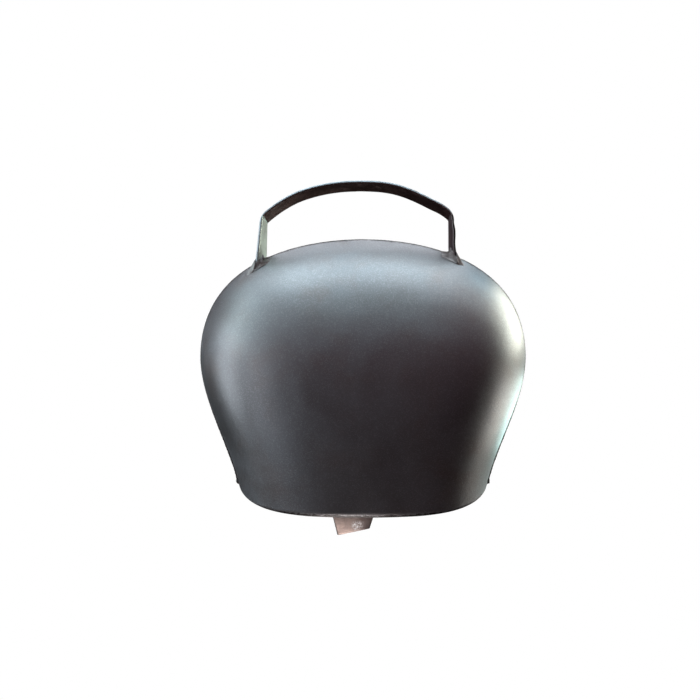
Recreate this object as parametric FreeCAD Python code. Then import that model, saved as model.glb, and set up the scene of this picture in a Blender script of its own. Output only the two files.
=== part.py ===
import FreeCAD, Part
import math
import os
from BOPTools import SplitAPI

# Sheet-steel cowbell: two pressed half shells welded along a seam, a flat-bar
# handle, and a clapper that hangs on a staple and a link inside the crown.
# Millimetres, +Z up. The origin is the strap's seat: the middle of the
# underside of the handle's arch. The front of the bell faces -Y.

os.makedirs("parts", exist_ok=True)

V = FreeCAD.Vector

# ---- the two shells
bell_height = 176.0         # mouth corner to crown, along the seam
bell_width = 234.0          # at the widest
mouth_width = 178.6
mouth_depth = 138.0         # front lip to rear lip
widest_height = 92.0        # above the mouth corners
sheet = 2.0                 # thickness of the sheet
lip_drop = 3.0              # front and rear lips hang below the mouth corners
shoulder_fullness = 0.29    # 0 makes the upper outline a plain ellipse
flank_bow = 2.25            # how early the sides start to draw in
side_fullness = 0.65        # 0 makes the plan section a parabola
face_power = 3.4            # how square the side profile's shoulder is
rim_fullness = 0.4          # how blunt the faces turn in towards the seam
face_lean = 0.10            # share of the depth lost between mouth and crown
bell_offset = 4.9           # the shells sit this far right of the handle

# ---- the handle
strap_gap = 37.3            # clear height between arch and crown
handle_top_span = 134.6     # outside, at the bends
handle_foot_span = 138.8    # outside, at crown height
arch_radius = 118.0         # outside
bend_radius = 7.0           # outside, at the two bends
bar_width = 20.0
bar_thickness = 2.0

# ---- the welds
seam_bead_width = 3.4
seam_bead_height = 1.3      # how far the seam's bead stands proud
seam_end_ball = 2.6         # radius of the lump at each mouth corner
fillet_radius = 4.2         # of the beads at the handle's feet

# ---- the hanging gear inside the crown
clapper_offset = -2.5       # from the handle's middle
staple_bar = 7.0
staple_span = 24.0          # between the leg centres
staple_reach = 22.0         # inner crown to the middle of the staple's bar
staple_weld_radius = 6.5
link_bar = 6.0
link_hole_length = 19.0
eye_bar = 8.0
eye_hole = 16.0
link_weld_share = 0.35      # of the straight side of the link
link_weld_proud = 0.5
hinge_gap = 0.3             # between bars that hang on each other
link_side_gap = 0.5         # each side of the thicker bar in the link

# ---- the clapper
shank_bar = 11.0
striker_width = 40.0
striker_thickness = 18.0
striker_length = 92.0
striker_waist = 15.0        # width where the shank enters
strike_height = 36.0        # widest place, above the tip
tail_width = 23.6           # at the tip
tail_thickness = 11.0
tail_reach = 35.2           # tip below the mouth corners
tail_slant = 4.6            # the tip's right corner is this much higher
weld_collar = 3.0           # width of the collar welds on the shank
eye_collar = 2.0            # how far the upper one stands out
striker_corner = 0.3        # corner radius, as a share of the thinner side
socket_depth = 8.0          # shank inside the striker

# ---- sampling of the pressed surface
surface_rows = 30
surface_columns = 31
crown_over = 2.5            # the sampled surface runs on past the crown
mouth_over = 10.0           # and past the mouth
crown_margin = 1.6          # how far the sampled rows run on past the seam
row_crowding = 1.5          # rows lie closer near the crown
seam_stations = (0, 0.12, 0.25, 0.38, 0.5, 0.61, 0.71, 0.8, 0.88, 0.94, 0.98)  # shares of the height
tail_sections = 4
shoulder_sections = 6

# ---- places that follow from the sizes
arch_top = bar_thickness
crown_z = -strap_gap
mouth_z = crown_z - bell_height
half_width = bell_width / 2


def seam_square(h):
    """Square of the seam's half width at height h above the mouth corners."""
    if h >= widest_height:
        t = (h - widest_height) / (bell_height - widest_height)
        return half_width ** 2 * (1 - t ** 2) * (1 + shoulder_fullness * t ** 2)
    v = (widest_height - h) / widest_height
    drawn_in = (bell_width - mouth_width) / 2 * (flank_bow * v ** 2 + (1 - flank_bow) * v ** 3)
    return (half_width - drawn_in) ** 2


def half_depth(h):
    """Half depth of the bell at its middle, at height h, before the rim is filled out."""
    t = h / bell_height
    return mouth_depth / 2 * (1 - abs(t) ** face_power) * (1 - face_lean * t)


def depth_ratio(h):
    """half_depth over seam_square, which stays finite where both vanish."""
    step = 0.01
    if abs(h - bell_height) < step:
        h = bell_height - step
    return half_depth(h) / seam_square(h)


def shell_depth(x, h):
    """Depth of the pressed face in front of the seam plane."""
    square = seam_square(h)
    roundness = side_fullness / (half_width ** 2 if h >= widest_height else square)
    plain = depth_ratio(h) * (square - x ** 2) * (1 + roundness * x ** 2)
    return plain * (1 + rim_fullness * (1 - 2 * plain / mouth_depth))


def shell_normal(x, h):
    """Outward normal of the face, as (x, depth, height)."""
    d = 0.05
    slope_x = (shell_depth(x + d, h) - shell_depth(x - d, h)) / (2 * d)
    slope_h = (shell_depth(x, h + d) - shell_depth(x, h - d)) / (2 * d)
    return V(-slope_x, 1, -slope_h).normalize()


def face_surface(inset):
    """Smooth surface over the front face, moved inwards by inset."""
    top = bell_height + crown_over
    margin = -crown_margin * seam_square(top)
    grid = []
    for row in range(surface_rows):
        f = (1 - row / (surface_rows - 1)) ** row_crowding
        h = top - (top + mouth_over) * f
        reach = math.sqrt(seam_square(h) + margin)
        line = []
        for column in range(surface_columns):
            x = reach * (2 * column / (surface_columns - 1) - 1)
            n = shell_normal(x, h)
            line.append(V(x - inset * n.x, -(shell_depth(x, h) - inset * n.y), h - inset * n.z))
        grid.append(line)
    surface = Part.BSplineSurface()
    surface.interpolate(grid)
    return surface.toShape()


def half_body(inset):
    """Solid between the seam plane and the front face, down past the mouth."""
    side = bell_width
    foot = mouth_over * 0.7
    block = Part.makeBox(2 * side, side, bell_height + 4 * crown_over + foot, V(-side, -side, -foot))
    pieces = SplitAPI.slice(block, [face_surface(inset)], "Split").Solids
    probe = V(0, -mouth_depth / 8, bell_height / 2)
    body = [p for p in pieces if p.isInside(probe, 0.001, False)][0]
    body.translate(V(bell_offset, 0, mouth_z))
    return body


def mirrored(shape):
    return shape.mirror(V(0, 0, 0), V(0, 1, 0))


def below_lip():
    """Everything under the mouth's gently arched edge."""
    half = mouth_depth / 2
    radius = (half ** 2 + lip_drop ** 2) / (2 * lip_drop)
    start = V(-2 * bell_width, 0, mouth_z - radius)
    return Part.makeCylinder(radius, 4 * bell_width, start, V(1, 0, 0))


def box(x0, x1, y0, y1, z0, z1):
    return Part.makeBox(x1 - x0, y1 - y0, z1 - z0, V(x0, y0, z0))


def capsule(a, b, radius):
    """Round-ended bar from a to b."""
    bar = Part.makeCylinder(radius, (b - a).Length, a, b - a)
    return bar.fuse(Part.makeSphere(radius, a)).fuse(Part.makeSphere(radius, b))


def seam_height(x):
    """Height of the shoulder's seam, above the mouth, at x from the bell's middle."""
    low, high = widest_height, bell_height
    for _ in range(40):
        middle = (low + high) / 2
        low, high = (middle, high) if seam_square(middle) > x ** 2 else (low, middle)
    return low


def crown_top(x, depth):
    """Height above the mouth of the shoulder's surface at x and a small depth."""
    low, high = widest_height, seam_height(x)
    for _ in range(40):
        middle = (low + high) / 2
        low, high = (middle, high) if shell_depth(x, middle) > depth else (low, middle)
    return low


# ---- seam welds

def seam_point(h, side, proud):
    """Point of the seam's outline at height h, moved outwards by proud."""
    d = 0.05
    x = math.sqrt(seam_square(h))
    slope = (math.sqrt(seam_square(h - d)) - x) / d
    out = V(1, 0, slope).normalize()
    return V(bell_offset + side * (x + proud * out.x), 0, mouth_z + h + proud * out.z)


def seam_outline(proud):
    """Open outline from the left mouth corner over the crown to the right one."""
    left = [seam_point(bell_height * f, -1, proud) for f in seam_stations]
    right = [seam_point(bell_height * f, 1, proud) for f in reversed(seam_stations)]
    top = V(bell_offset, 0, mouth_z + bell_height + proud)
    curve = Part.BSplineCurve()
    curve.interpolate(left + [top] + right)
    return curve.toShape()


def seam_bead():
    """Bead of weld on the whole seam, outside the shells."""
    outer = seam_outline(seam_bead_height)
    inner = seam_outline(-2 * seam_bead_height)
    ends = [Part.makeLine(outer.Vertexes[i].Point, inner.Vertexes[i].Point) for i in (0, -1)]
    wire = Part.Wire(Part.__sortEdges__([outer, ends[0], inner, ends[1]]))
    bead = Part.Face(wire).extrude(V(0, seam_bead_width, 0))
    bead.translate(V(0, -seam_bead_width / 2, 0))
    for side in (-1, 1):
        lump = seam_point(seam_end_ball, side, 0)
        bead = bead.fuse(Part.makeSphere(seam_end_ball, lump))
    return bead.cut(outer_body).cut(below_lip())


# ---- handle

def handle_block(inset):
    """Solid whose outline is the handle's outer outline moved inwards by inset."""
    top_half = handle_top_span / 2 - inset
    foot_half = handle_foot_span / 2 - inset
    radius = arch_radius - inset
    centre_z = arch_top - arch_radius
    bend_z = centre_z + math.sqrt(radius ** 2 - top_half ** 2)
    foot_z = crown_z
    splay = (foot_half - top_half) / (bend_z - foot_z)
    low_z = mouth_z + widest_height
    low_half = foot_half + splay * (foot_z - low_z)
    corners = [V(-low_half, 0, low_z), V(-top_half, 0, bend_z), V(top_half, 0, bend_z), V(low_half, 0, low_z)]
    arch = Part.Arc(corners[1], V(0, 0, centre_z + radius), corners[2]).toShape()
    sides = [Part.makeLine(corners[0], corners[1]), arch,
             Part.makeLine(corners[2], corners[3]), Part.makeLine(corners[3], corners[0])]
    block = Part.Face(Part.Wire(sides)).extrude(V(0, bar_width, 0))
    block.translate(V(0, -bar_width / 2, 0))
    bends = [e for e in block.Edges
             if all(abs(v.Point.z - bend_z) < 0.01 for v in e.Vertexes) and e.Length < bar_width * 1.01
             and abs(e.Vertexes[0].Point.x - e.Vertexes[-1].Point.x) < 0.01]
    return block.makeFillet(bend_radius - inset, bends)


def leg_x(side, z, inset):
    """x of the leg's face at height z, inset from its outside."""
    bend_z = arch_top - arch_radius + math.sqrt(arch_radius ** 2 - (handle_top_span / 2) ** 2)
    splay = (handle_foot_span - handle_top_span) / 2 / (bend_z - crown_z)
    return side * (handle_foot_span / 2 + splay * (crown_z - z) - inset)


def foot_bead(side, inset):
    """Fillet bead along one face of a leg, over the shoulder's ridge, and the ridge's height."""
    half = bar_width / 2
    points = []
    for depth in (half, 0, half):
        z = crown_z
        for _ in range(6):
            x = leg_x(side, z, inset)
            z = mouth_z + crown_top(x - bell_offset, depth)
        points.append(V(x, -depth if not points else depth, z))
    bead = capsule(points[0], points[1], fillet_radius).fuse(capsule(points[1], points[2], fillet_radius))
    return bead, points[1].z


# ---- hanging gear

def staple_place():
    """Middle of the staple's lower bar."""
    ridge = crown_top(clapper_offset - bell_offset, 0) - sheet
    return V(clapper_offset, 0, mouth_z + ridge - staple_reach)


def staple():
    """U of round bar whose legs end against the inside of the crown."""
    low = staple_place()
    bend = staple_span / 2
    centre = low + V(0, 0, bend)
    ring = Part.makeTorus(bend, staple_bar / 2, centre, V(0, 1, 0))
    half = box(low.x - staple_span, low.x + staple_span, -staple_bar, staple_bar,
               low.z - staple_bar, centre.z)
    shape = ring.common(half)
    for side in (-1, 1):
        foot = centre + V(side * bend, 0, 0)
        shape = shape.fuse(Part.makeCylinder(staple_bar / 2, bell_height / 4, foot, V(0, 0, 1)))
    return shape.common(inner_body).removeSplitter()


def staple_weld(side):
    x = clapper_offset + side * staple_span / 2
    z = mouth_z + crown_top(x - bell_offset, staple_bar / 2) - sheet
    return Part.makeSphere(staple_weld_radius, V(x, 0, z)).common(inner_body).cut(staple_legs)


def link_inner_radius():
    return max(staple_bar, eye_bar) / 2 + link_side_gap


def link_centres():
    """Centres of the link's upper and lower end arcs."""
    top = staple_place().z + staple_bar / 2 + hinge_gap - link_inner_radius()
    bottom = top - (link_hole_length - 2 * link_inner_radius())
    return top, bottom


def link_body():
    """Closed chain link in the plane across the bell."""
    top, bottom = link_centres()
    bend = link_inner_radius() + link_bar / 2
    x = clapper_offset
    shape = None
    for z, sign in ((top, 1), (bottom, -1)):
        ring = Part.makeTorus(bend, link_bar / 2, V(x, 0, z), V(1, 0, 0))
        far = z + sign * 3 * bend
        half = box(x - link_bar, x + link_bar, -3 * bend, 3 * bend, min(z, far), max(z, far))
        arc = ring.common(half)
        shape = arc if shape is None else shape.fuse(arc)
    for side in (-1, 1):
        foot = V(x, side * bend, bottom)
        shape = shape.fuse(Part.makeCylinder(link_bar / 2, top - bottom, foot, V(0, 0, 1)))
    return shape.removeSplitter()


def link_closure():
    """Weld bead around the rear side of the link, where its ends meet."""
    top, bottom = link_centres()
    y = link_inner_radius() + link_bar / 2
    length = (top - bottom) * link_weld_share
    start = V(clapper_offset, y, (top + bottom - length) / 2)
    return Part.makeCylinder(link_bar / 2 + link_weld_proud, length, start, V(0, 0, 1))


def link_pivot():
    """Middle of the link's lower bar, which the clapper's eye swings on."""
    return V(clapper_offset, 0, link_centres()[1] - link_inner_radius() - link_bar / 2)


def eye_centre():
    rise = link_bar / 2 + hinge_gap
    return link_pivot() + V(0, 0, rise - eye_hole / 2)


def rounded_section(width, thickness, z):
    """Rounded rectangle wire at height z, centred on the clapper's line."""
    r = min(width, thickness) * striker_corner
    a, b = width / 2, thickness / 2
    x = clapper_offset
    k = r * (1 - math.sqrt(0.5))
    edges = []
    for sx, sy in ((1, 1), (-1, 1), (-1, -1), (1, -1)):
        side_end = V(x + sx * a, sy * (b - r), z)
        flat_end = V(x + sx * (a - r), sy * b, z)
        middle = V(x + sx * (a - k), sy * (b - k), z)
        start, end = (side_end, flat_end) if sx * sy > 0 else (flat_end, side_end)
        edges.append(Part.Arc(start, middle, end).toShape())
    wire = []
    for i, arc in enumerate(edges):
        nxt = edges[(i + 1) % 4]
        wire += [arc, Part.makeLine(arc.valueAt(arc.LastParameter), nxt.valueAt(nxt.FirstParameter))]
    return Part.Wire(wire)


def striker_section(h):
    """Width and thickness of the striker at height h above its tip."""
    if h <= strike_height:
        share = h / strike_height
        return (tail_width + (striker_width - tail_width) * share,
                tail_thickness + (striker_thickness - tail_thickness) * share)
    share = (1 + math.cos(math.pi * (h - strike_height) / (striker_length - strike_height))) / 2
    return (striker_waist + (striker_width - striker_waist) * share,
            striker_waist + (striker_thickness - striker_waist) * share)


def striker_body():
    """Forged striker: a flat-sided pear with a tail sheared off on a slant."""
    tip = mouth_z - tail_reach
    shoulder = striker_length - strike_height
    steps = [strike_height * k / tail_sections for k in range(-1, tail_sections)]
    steps += [strike_height + shoulder * k / shoulder_sections for k in range(shoulder_sections + 1)]
    body = Part.makeLoft([rounded_section(*striker_section(h), tip + h) for h in steps], True)
    fall = tail_slant / tail_width
    far = 2 * striker_width
    below = Part.makePolygon([
        V(clapper_offset - far, 0, tip + fall * (tail_width / 2 - far)),
        V(clapper_offset + far, 0, tip + fall * (tail_width / 2 + far)),
        V(clapper_offset + far, 0, tip - 2 * far),
        V(clapper_offset - far, 0, tip - 2 * far),
        V(clapper_offset - far, 0, tip + fall * (tail_width / 2 - far))])
    wedge = Part.Face(below).extrude(V(0, far, 0))
    wedge.translate(V(0, -far / 2, 0))
    return body.cut(wedge), tip + striker_length


def save(name, shape):
    """Write one node, and say how it came out."""
    if shape.ShapeType != "Solid" and len(shape.Solids) == 1:
        shape = shape.Solids[0]
    print(name, len(shape.Solids), "solid", shape.isValid(), round(shape.Volume, 1))
    shape.exportStep("parts/" + name + ".step")


# ---- shells
front_outer = half_body(0)
front_inner = half_body(sheet)
outer_body = front_outer.fuse(mirrored(front_outer)).removeSplitter()
inner_body = front_inner.fuse(mirrored(front_inner)).removeSplitter()
front_shell = front_outer.cut(front_inner).cut(below_lip())
save("front_shell", front_shell)
save("rear_shell", mirrored(front_shell))

# ---- handle and its welds
handle = handle_block(0).cut(handle_block(bar_thickness)).cut(outer_body)
handle = max(handle.Solids, key=lambda s: s.Volume)
save("handle_strap", handle)
foot_welds = []
for side, side_name in ((-1, "left"), (1, "right")):
    for face_name, direction in (("outer", side), ("inner", -side)):
        inset = 0 if face_name == "outer" else bar_thickness
        bead, foot_z = foot_bead(side, inset)
        middle = leg_x(side, foot_z, bar_thickness / 2)
        far = middle + direction * bar_width
        keep = box(min(middle, far), max(middle, far), -bar_width, bar_width, mouth_z, arch_top)
        bead = bead.cut(outer_body).cut(handle).common(keep)
        bead = max(bead.Solids, key=lambda s: s.Volume)
        save("handle_weld_" + side_name + "_" + face_name, bead)
        foot_welds.append(bead)

# ---- seam welds, stopped by the handle's feet
bead = seam_bead().cut(handle)
for weld in foot_welds:
    bead = bead.cut(weld)
foot = handle_foot_span / 2
zones = {"left": (-bell_width, -foot), "crown": (-foot, foot), "right": (foot, bell_width)}
for name, (x0, x1) in zones.items():
    inside = [s for s in bead.Solids if x0 < s.CenterOfMass.x < x1]
    save("seam_weld_" + name, max(inside, key=lambda s: s.Volume))

# ---- staple, link and clapper
staple_legs = staple()
save("clapper_staple", staple_legs)
save("staple_weld_left", staple_weld(-1))
save("staple_weld_right", staple_weld(1))

closure = link_closure()
save("hanging_link", link_body().cut(closure))
save("link_weld", closure)

eye_bend = (eye_hole + eye_bar) / 2
eye = Part.makeTorus(eye_bend, eye_bar / 2, eye_centre(), V(0, 1, 0))
save("clapper_eye", eye)

striker, striker_top = striker_body()
eye_low = eye_centre().z - eye_bend
shank_start = V(clapper_offset, 0, striker_top - socket_depth)
shank = Part.makeCylinder(shank_bar / 2, eye_low - shank_start.z, shank_start, V(0, 0, 1)).cut(eye)
save("clapper_shank", shank)
socket = Part.makeCylinder(shank_bar / 2, striker_length, shank_start, V(0, 0, 1))
striker = striker.cut(socket)
save("striker", striker)

up = V(0, 0, 1)
low_radius = shank_bar / 2 + weld_collar
low_collar = Part.makeCone(low_radius, shank_bar / 2, weld_collar, V(clapper_offset, 0, striker_top), up)
save("striker_weld", low_collar.cut(shank))
collar_z = eye_low - eye_bar / 2 - weld_collar / 2
high_radius = shank_bar / 2 + eye_collar
high_collar = Part.makeCylinder(high_radius, 2 * weld_collar, V(clapper_offset, 0, collar_z), up)
save("eye_weld", high_collar.cut(shank).cut(eye))
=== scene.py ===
import math
import bmesh
import bpy
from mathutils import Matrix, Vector, noise


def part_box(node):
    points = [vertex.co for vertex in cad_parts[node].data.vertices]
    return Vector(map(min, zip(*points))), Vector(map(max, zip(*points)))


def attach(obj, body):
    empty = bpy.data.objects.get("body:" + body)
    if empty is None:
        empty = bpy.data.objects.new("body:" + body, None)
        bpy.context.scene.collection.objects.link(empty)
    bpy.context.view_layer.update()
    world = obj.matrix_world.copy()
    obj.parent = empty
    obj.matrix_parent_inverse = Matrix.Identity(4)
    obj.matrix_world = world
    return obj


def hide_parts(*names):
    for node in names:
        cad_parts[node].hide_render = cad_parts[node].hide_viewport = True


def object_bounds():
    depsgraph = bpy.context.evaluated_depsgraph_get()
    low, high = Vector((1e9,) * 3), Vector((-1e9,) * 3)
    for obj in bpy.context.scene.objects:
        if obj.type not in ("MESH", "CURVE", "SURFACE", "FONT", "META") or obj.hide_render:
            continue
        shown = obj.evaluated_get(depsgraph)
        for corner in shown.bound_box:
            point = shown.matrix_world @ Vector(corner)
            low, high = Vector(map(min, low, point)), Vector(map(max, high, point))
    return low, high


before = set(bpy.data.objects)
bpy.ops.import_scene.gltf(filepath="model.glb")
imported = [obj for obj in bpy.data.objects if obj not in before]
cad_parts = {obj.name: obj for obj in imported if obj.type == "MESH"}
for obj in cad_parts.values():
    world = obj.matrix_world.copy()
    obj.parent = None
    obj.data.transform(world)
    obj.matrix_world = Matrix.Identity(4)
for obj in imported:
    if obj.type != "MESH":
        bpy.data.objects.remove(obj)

cadLow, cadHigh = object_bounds()
mm = 0.001
print("frame loaded")


shellLow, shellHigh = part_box("front_shell")
bell = {
    "midX": (shellLow.x + shellHigh.x) / 2,
    "width": shellHigh.x - shellLow.x,
    "lipDrop": 3 * mm,
    "mouthWidth": 178.6 * mm,
    "halfDepth": 69 * mm,
    "widestHeight": 92 * mm,
    "sheet": 2 * mm,
    "shoulderFullness": 0.29,
    "flankBow": 2.25,
    "sideFullness": 0.65,
    "facePower": 3.4,
    "rimFullness": 0.4,
    "faceLean": 0.10,
}
bell["mouthZ"] = shellLow.z + bell["lipDrop"]
bell["height"] = shellHigh.z - bell["mouthZ"]


def seamSquare(h):
    # square of the seam's half width at height h above the mouth corners
    half, widest = bell["width"] / 2, bell["widestHeight"]
    if h >= widest:
        t = (h - widest) / (bell["height"] - widest)
        return half ** 2 * (1 - t ** 2) * (1 + bell["shoulderFullness"] * t ** 2)
    v = (widest - h) / widest
    bow = bell["flankBow"]
    drawnIn = (bell["width"] - bell["mouthWidth"]) / 2 * (bow * v ** 2 + (1 - bow) * v ** 3)
    return (half - drawnIn) ** 2


def halfDepth(h):
    t = h / bell["height"]
    return bell["halfDepth"] * (1 - abs(t) ** bell["facePower"]) * (1 - bell["faceLean"] * t)


def faceDepth(x, h):
    # depth of the pressed face in front of the seam plane
    safe = min(h, bell["height"] - 0.01 * mm)
    square = seamSquare(safe)
    roundness = bell["sideFullness"] / ((bell["width"] / 2) ** 2 if h >= bell["widestHeight"] else square)
    plain = halfDepth(safe) / square * (seamSquare(h) - x ** 2) * (1 + roundness * x ** 2)
    return plain * (1 + bell["rimFullness"] * (1 - plain / bell["halfDepth"]))


def faceNormal(x, h):
    d = 0.1 * mm
    slopeX = (faceDepth(x + d, h) - faceDepth(x - d, h)) / (2 * d)
    slopeH = (faceDepth(x, h + d) - faceDepth(x, h - d)) / (2 * d)
    return Vector((-slopeX, 1, -slopeH)).normalized()


def crownTop(x, depth):
    # height of the shoulder's surface at x and a small depth from the seam
    low, high = bell["widestHeight"], bell["height"]
    for _ in range(30):
        middle = (low + high) / 2
        low, high = (middle, high) if faceDepth(x, middle) > depth else (low, middle)
    return low


def resample(points, count):
    # points spaced evenly along a polyline
    lengths = [0]
    for a, b in zip(points, points[1:]):
        lengths.append(lengths[-1] + (b - a).length)
    made, k = [], 0
    for i in range(count):
        want = lengths[-1] * i / (count - 1)
        while k < len(points) - 2 and lengths[k + 1] < want:
            k += 1
        span = lengths[k + 1] - lengths[k]
        made.append(points[k].lerp(points[k + 1], (want - lengths[k]) / span if span else 0))
    return made


def seamOutline(count):
    # (x, h) from the left mouth corner over the crown to the right one
    side, steps = [], 400
    for k in range(steps + 1):
        h = bell["height"] * (1 - (1 - k / steps) ** 2)
        side.append(Vector((math.sqrt(max(seamSquare(h), 0)), h)))
    left = [Vector((-p.x, p.y)) for p in side]
    return resample(left + side[::-1][1:], count)


def bumpy(place, size, seed, octaves=2):
    # smooth noise from about -1 to 1
    return noise.fractal(place / size + Vector((seed, seed * 0.7, -seed)), 1.0, 2.1, octaves)


def makeMesh(name, verts, faces, smooth=True):
    data = bpy.data.meshes.new(name)
    data.from_pydata([tuple(v) for v in verts], [], faces)
    data.validate()
    data.update()
    if smooth:
        data.shade_smooth()
    piece = bpy.data.objects.new(name, data)
    bpy.context.scene.collection.objects.link(piece)
    return piece


def loftRings(name, rings, closed=False, caps=True):
    # skin over rings of equal count
    count = len(rings[0])
    verts = [p for ring in rings for p in ring]
    faces = []
    last = len(rings) if closed else len(rings) - 1
    for i in range(last):
        a, b = i * count, (i + 1) % len(rings) * count
        for k in range(count):
            n = (k + 1) % count
            faces.append((a + k, a + n, b + n, b + k))
    if caps and not closed:
        for i, flip in ((0, True), (len(rings) - 1, False)):
            centre = sum(rings[i], Vector()) / count
            verts.append(centre)
            middle = len(verts) - 1
            for k in range(count):
                n = (k + 1) % count
                a, b = i * count + k, i * count + n
                faces.append((b, a, middle) if flip else (a, b, middle))
    return makeMesh(name, verts, faces)


def setAttribute(piece, name, values):
    attribute = piece.data.attributes.new(name, "FLOAT", "POINT")
    attribute.data.foreach_set("value", values)


def outward(piece):
    work = bmesh.new()
    work.from_mesh(piece.data)
    bmesh.ops.remove_doubles(work, verts=work.verts, dist=0.01 * mm)
    bmesh.ops.recalc_face_normals(work, faces=work.faces)
    work.to_mesh(piece.data)
    work.free()
    piece.data.update()


def place(piece, body, slot, material, *nodes):
    piece.data.materials.append(material)
    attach(piece, body)
    if nodes:
        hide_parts(*nodes)


def newGroup(name, inputs, outputs):
    group = bpy.data.node_groups.new(name, "ShaderNodeTree")
    for title, kind, value in inputs:
        socket = group.interface.new_socket(title, in_out="INPUT", socket_type=kind)
        socket.default_value = value
    for title, kind in outputs:
        group.interface.new_socket(title, in_out="OUTPUT", socket_type=kind)
    return group, group.nodes.new("NodeGroupInput"), group.nodes.new("NodeGroupOutput")


def feed(tree, socket, value):
    # a value is either another node's output or a plain setting
    if hasattr(value, "is_output"):
        tree.links.new(value, socket)
    else:
        socket.default_value = value


def addNode(tree, kind, settings=None, **sockets):
    # _0, _1 and so on stand for a socket's number
    node = tree.nodes.new(kind)
    for key, value in (settings or {}).items():
        setattr(node, key, value)
    for key, value in sockets.items():
        feed(tree, node.inputs[int(key[1:]) if key[0] == "_" else key.replace("_", " ")], value)
    return node


def mathNode(tree, operation, a, b=0.0, clamp=False):
    settings = {"operation": operation, "use_clamp": clamp}
    return addNode(tree, "ShaderNodeMath", settings, _0=a, _1=b).outputs[0]


def times(tree, a, b):
    return mathNode(tree, "MULTIPLY", a, b)


def mixColour(tree, factor, a, b):
    return addNode(tree, "ShaderNodeMix", {"data_type": "RGBA"}, _0=factor, _6=a, _7=b).outputs[2]


def rangeNode(tree, value, low, high, toLow=0.0, toHigh=1.0):
    node = addNode(tree, "ShaderNodeMapRange", {"interpolation_type": "SMOOTHSTEP"},
                   Value=value, From_Min=low, From_Max=high, To_Min=toLow, To_Max=toHigh)
    return node.outputs[0]


def objectPlace(tree):
    return addNode(tree, "ShaderNodeTexCoord").outputs["Object"]


def noiseNode(tree, place, scale, detail=3.0, roughness=0.5, distortion=0.0):
    node = addNode(tree, "ShaderNodeTexNoise", None, Vector=place, Scale=scale, Detail=detail,
                   Roughness=roughness, Distortion=distortion)
    return node.outputs[0]


def makeGrainGroup():
    # fine sprayed or cast grain: a height and a sparkle mask
    group, inner, outer = newGroup(
        "fineGrain",
        [("Grain per metre", "NodeSocketFloat", 1400.0), ("Pits per metre", "NodeSocketFloat", 420.0),
         ("Pit share", "NodeSocketFloat", 0.3)],
        [("Height", "NodeSocketFloat"), ("Sparkle", "NodeSocketFloat")])
    spot = objectPlace(group)
    fine = noiseNode(group, spot, inner.outputs[0], 4.0, 0.6)
    pits = addNode(group, "ShaderNodeTexVoronoi", None, Vector=spot, Scale=inner.outputs[1], Randomness=1.0)
    pit = rangeNode(group, pits.outputs["Distance"], 0.05, 0.45)
    height = mathNode(group, "ADD", fine, times(group, pit, inner.outputs[2]))
    cells = addNode(group, "ShaderNodeTexVoronoi", None, Vector=spot, Scale=inner.outputs[0], Randomness=1.0)
    tint = addNode(group, "ShaderNodeSeparateColor", None, Color=cells.outputs["Color"]).outputs[0]
    sparkle = rangeNode(group, tint, 0.62, 1.0)
    group.links.new(height, outer.inputs[0])
    group.links.new(sparkle, outer.inputs[1])
    return group


def makePatchGroup():
    # cloudy patches, as of handling, heat or rust
    group, inner, outer = newGroup(
        "patches",
        [("Patches per metre", "NodeSocketFloat", 30.0), ("Cover", "NodeSocketFloat", 0.5),
         ("Softness", "NodeSocketFloat", 0.15)],
        [("Mask", "NodeSocketFloat")])
    cloud = noiseNode(group, objectPlace(group), inner.outputs[0], 6.0, 0.62, 0.4)
    start = mathNode(group, "SUBTRACT", 1.0, inner.outputs[1])
    low = mathNode(group, "SUBTRACT", start, inner.outputs[2])
    high = mathNode(group, "ADD", start, inner.outputs[2])
    group.links.new(rangeNode(group, cloud, low, high), outer.inputs[0])
    return group


def makeWearGroup():
    # a mask where a piece's edge attribute is high, broken up by noise
    group, inner, outer = newGroup(
        "edgeWear",
        [("Edge", "NodeSocketFloat", 0.0), ("Amount", "NodeSocketFloat", 0.5),
         ("Chips per metre", "NodeSocketFloat", 500.0)],
        [("Mask", "NodeSocketFloat")])
    chips = noiseNode(group, objectPlace(group), inner.outputs[2], 5.0, 0.65)
    reach = times(group, inner.outputs[0], inner.outputs[1])
    level = mathNode(group, "ADD", reach, times(group, chips, 0.55))
    group.links.new(rangeNode(group, level, 0.72, 0.84), outer.inputs[0])
    return group


grainGroup, patchGroup, wearGroup = makeGrainGroup(), makePatchGroup(), makeWearGroup()


def placed(tree, group, **values):
    node = addNode(tree, "ShaderNodeGroup", {"node_tree": group})
    for key, value in values.items():
        feed(tree, node.inputs[key.replace("_", " ")], value)
    return node


def marked(tree, name):
    # how strongly a stretch of the piece is marked with this attribute
    return addNode(tree, "ShaderNodeAttribute", {"attribute_name": name}).outputs["Fac"]


def grainOf(tree, values):
    # the grain's height and sparkle
    return placed(tree, grainGroup, Grain_per_metre=values["grainPerMetre"],
                  Pits_per_metre=values["pitsPerMetre"], Pit_share=values["pitShare"]).outputs


def patchesOf(tree, perMetre, cover, softness):
    return placed(tree, patchGroup, Patches_per_metre=perMetre, Cover=cover, Softness=softness).outputs[0]


def wearOf(tree, amount, perMetre):
    edge = marked(tree, "edge")
    return placed(tree, wearGroup, Edge=edge, Amount=amount, Chips_per_metre=perMetre).outputs[0]


def newMaterial(name):
    material = bpy.data.materials.new(name)
    material.use_nodes = True
    tree = material.node_tree
    return material, tree, tree.nodes["Principled BSDF"]


def joinBump(tree, shader, height, strength, distance):
    bump = addNode(tree, "ShaderNodeBump", None, Height=height, Strength=strength, Distance=distance)
    tree.links.new(bump.outputs[0], shader.inputs["Normal"])


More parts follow.
